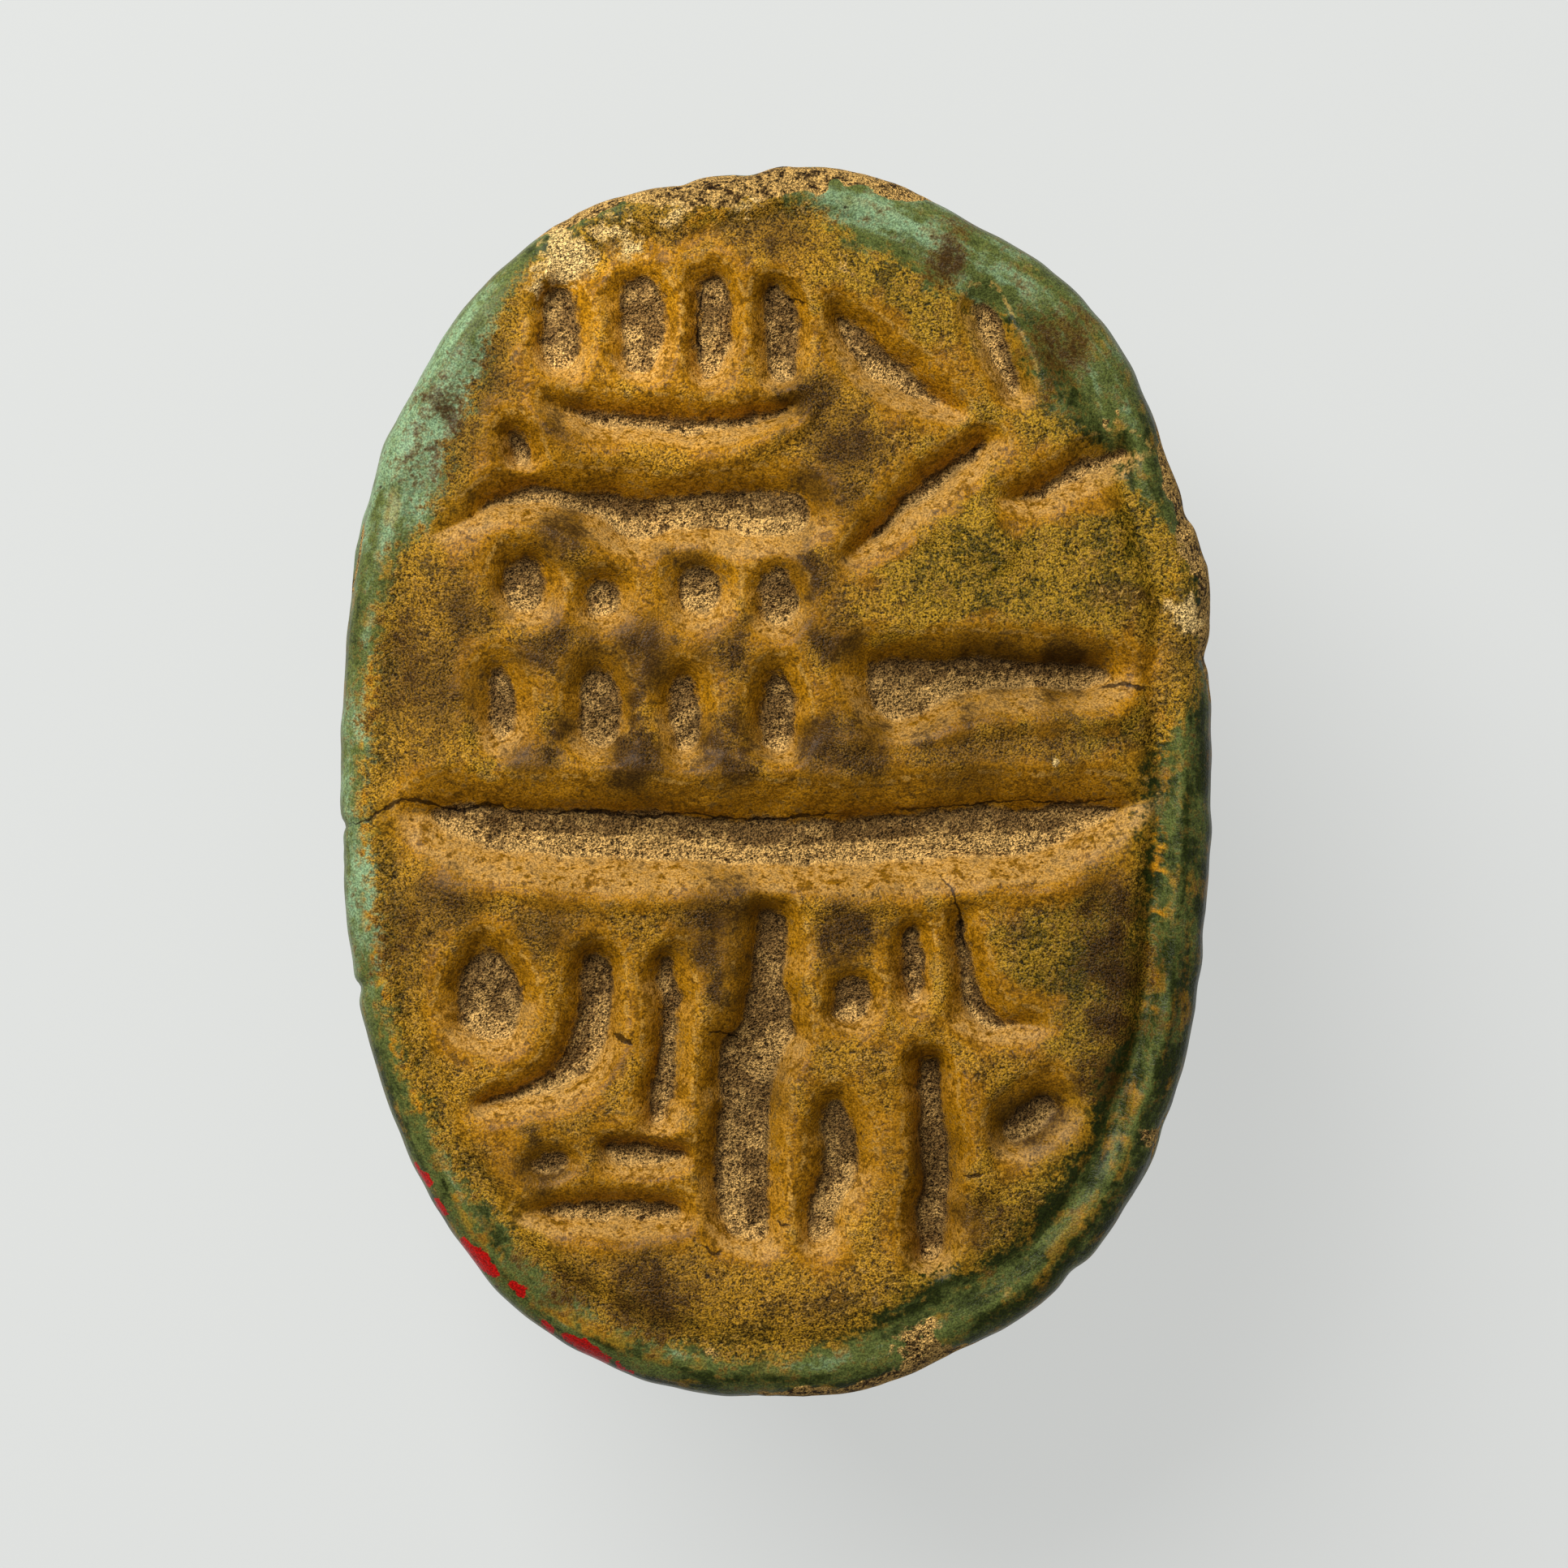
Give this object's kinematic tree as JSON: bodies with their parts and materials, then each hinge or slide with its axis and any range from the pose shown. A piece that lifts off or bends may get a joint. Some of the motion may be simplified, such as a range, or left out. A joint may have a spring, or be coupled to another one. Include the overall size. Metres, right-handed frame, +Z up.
{
  "type": "scarab amulet",
  "caption": "Oval beetle-shaped amulet: flat oval face with rows of sunk strokes, domed beetle back, legs in relief round the side and a lengthwise cord hole.",
  "frame": {"origin": "middle of the amulet's outline, on the ground it lies on", "axes": "+Y to the beetle's head end, +Z up out of the carved face, +X across to the right with the head end up as the face is seen"},
  "size_m": [0.012, 0.017, 0.0076],
  "materials": {
    "glazed_body": "worn glaze over a sandy body"
  },
  "bodies": {
    "root": {"scarab": "glazed_body"}
  },
  "joints": []
}
